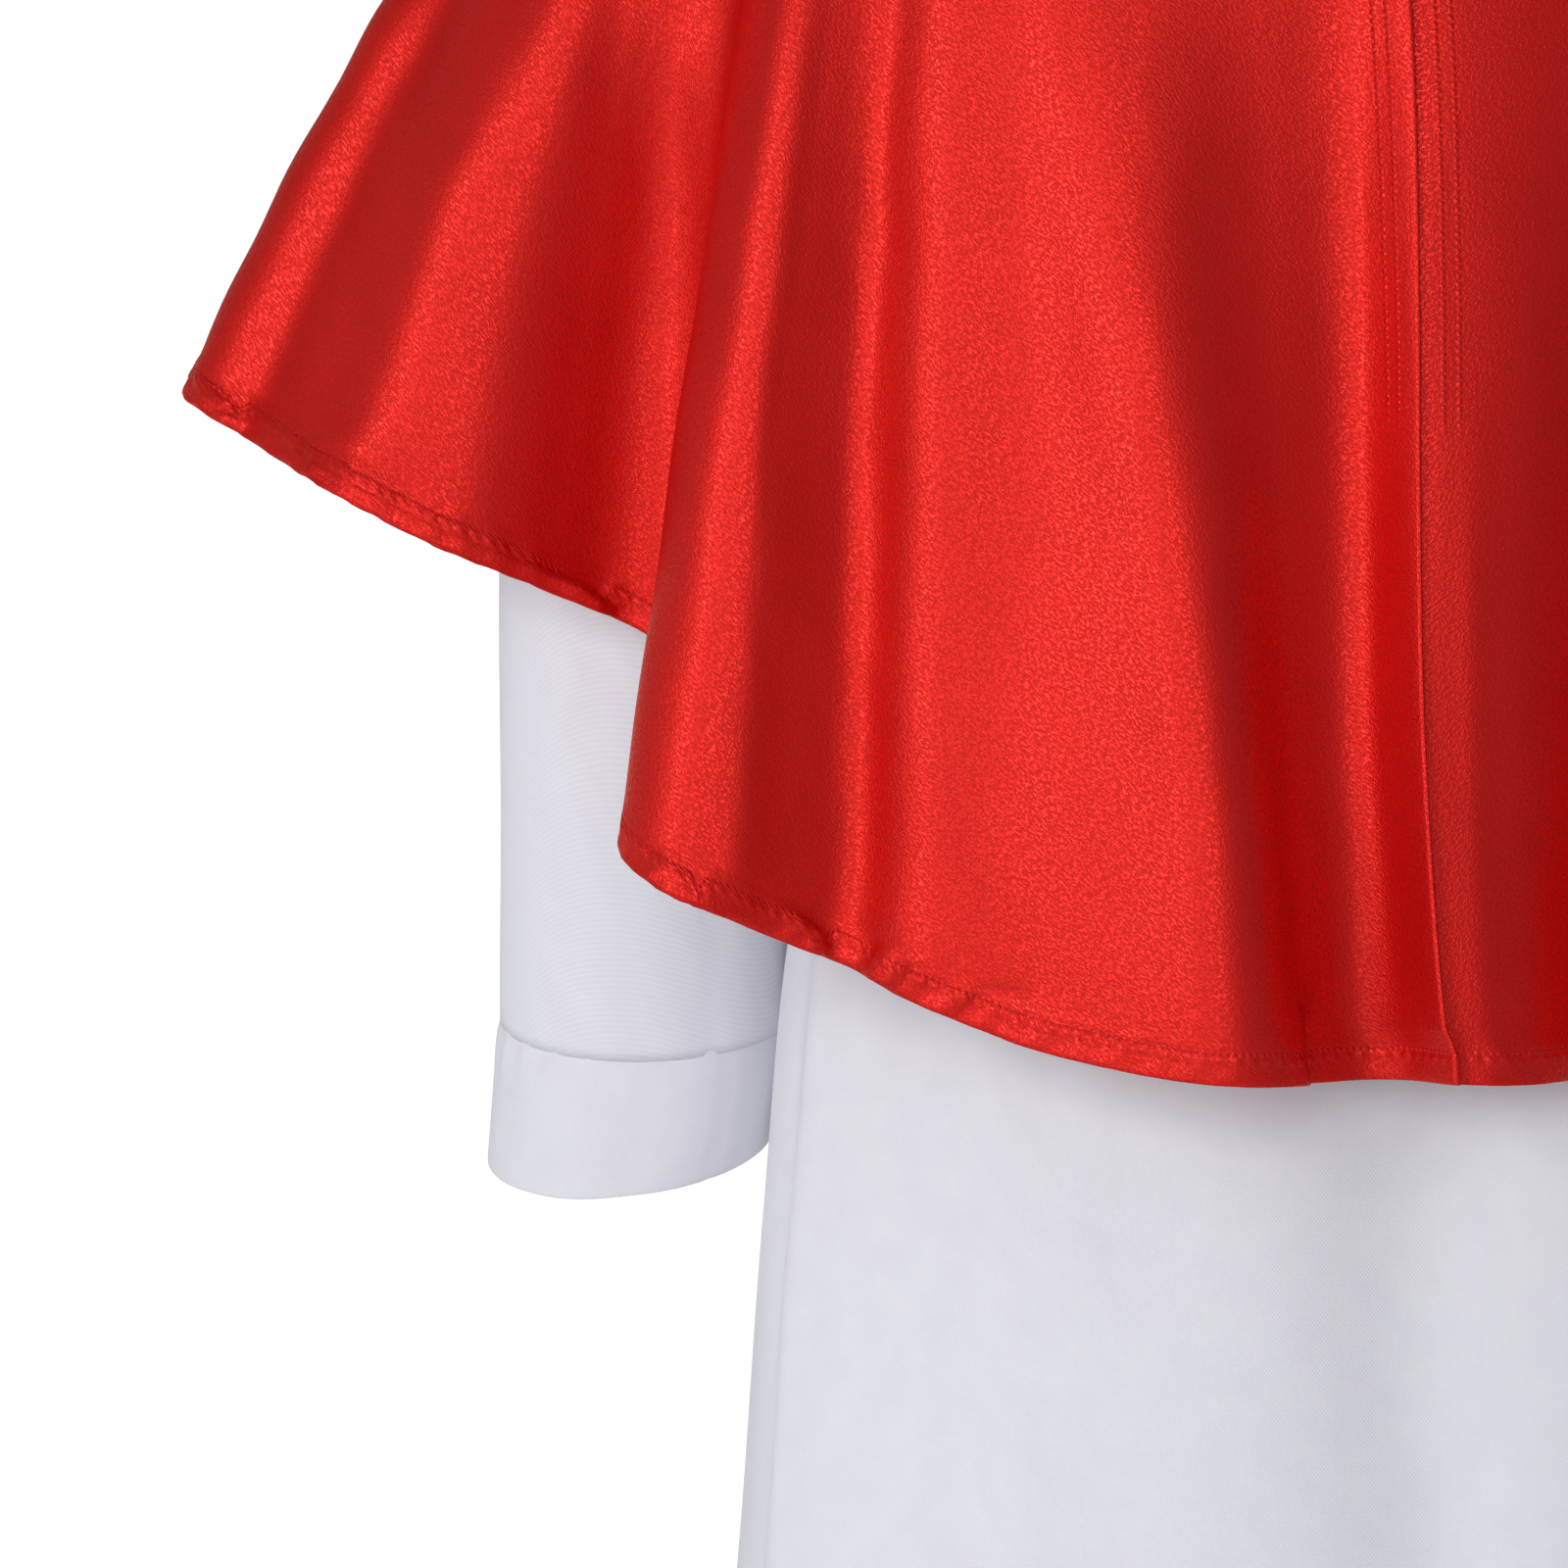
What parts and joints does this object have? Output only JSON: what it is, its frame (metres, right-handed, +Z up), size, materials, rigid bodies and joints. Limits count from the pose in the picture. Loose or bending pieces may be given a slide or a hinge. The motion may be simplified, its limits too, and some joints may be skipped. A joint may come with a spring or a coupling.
{
  "type": "priest robe with shoulder cape",
  "caption": "Long white priest robe with banded sleeves under a red satin shoulder cape, hollow and standing in its worn shape.",
  "frame": {"origin": "middle of the neck between the shoulders that carry the garment", "axes": "+Z up, -Y the wearer's front, +X the wearer's left"},
  "size_m": [0.9361, 0.4993, 1.5462],
  "materials": {
    "white_twill": "matt twill",
    "red_satin": "glossy satin"
  },
  "bodies": {
    "root": {"robe_back_upper": "white_twill", "robe_back_lower": "white_twill", "robe_front_left_upper": "white_twill", "robe_front_left_lower": "white_twill", "robe_front_right_upper": "white_twill", "robe_front_right_lower": "white_twill", "robe_neckband": "white_twill", "robe_zip_tape": "white_twill", "sleeve_left": "white_twill", "sleeve_right": "white_twill", "cuff_left": "white_twill", "cuff_right": "white_twill", "cape_left": "red_satin", "cape_right": "red_satin", "cape_neckband": "red_satin", "cape_zip_tape": "red_satin"}
  },
  "joints": []
}
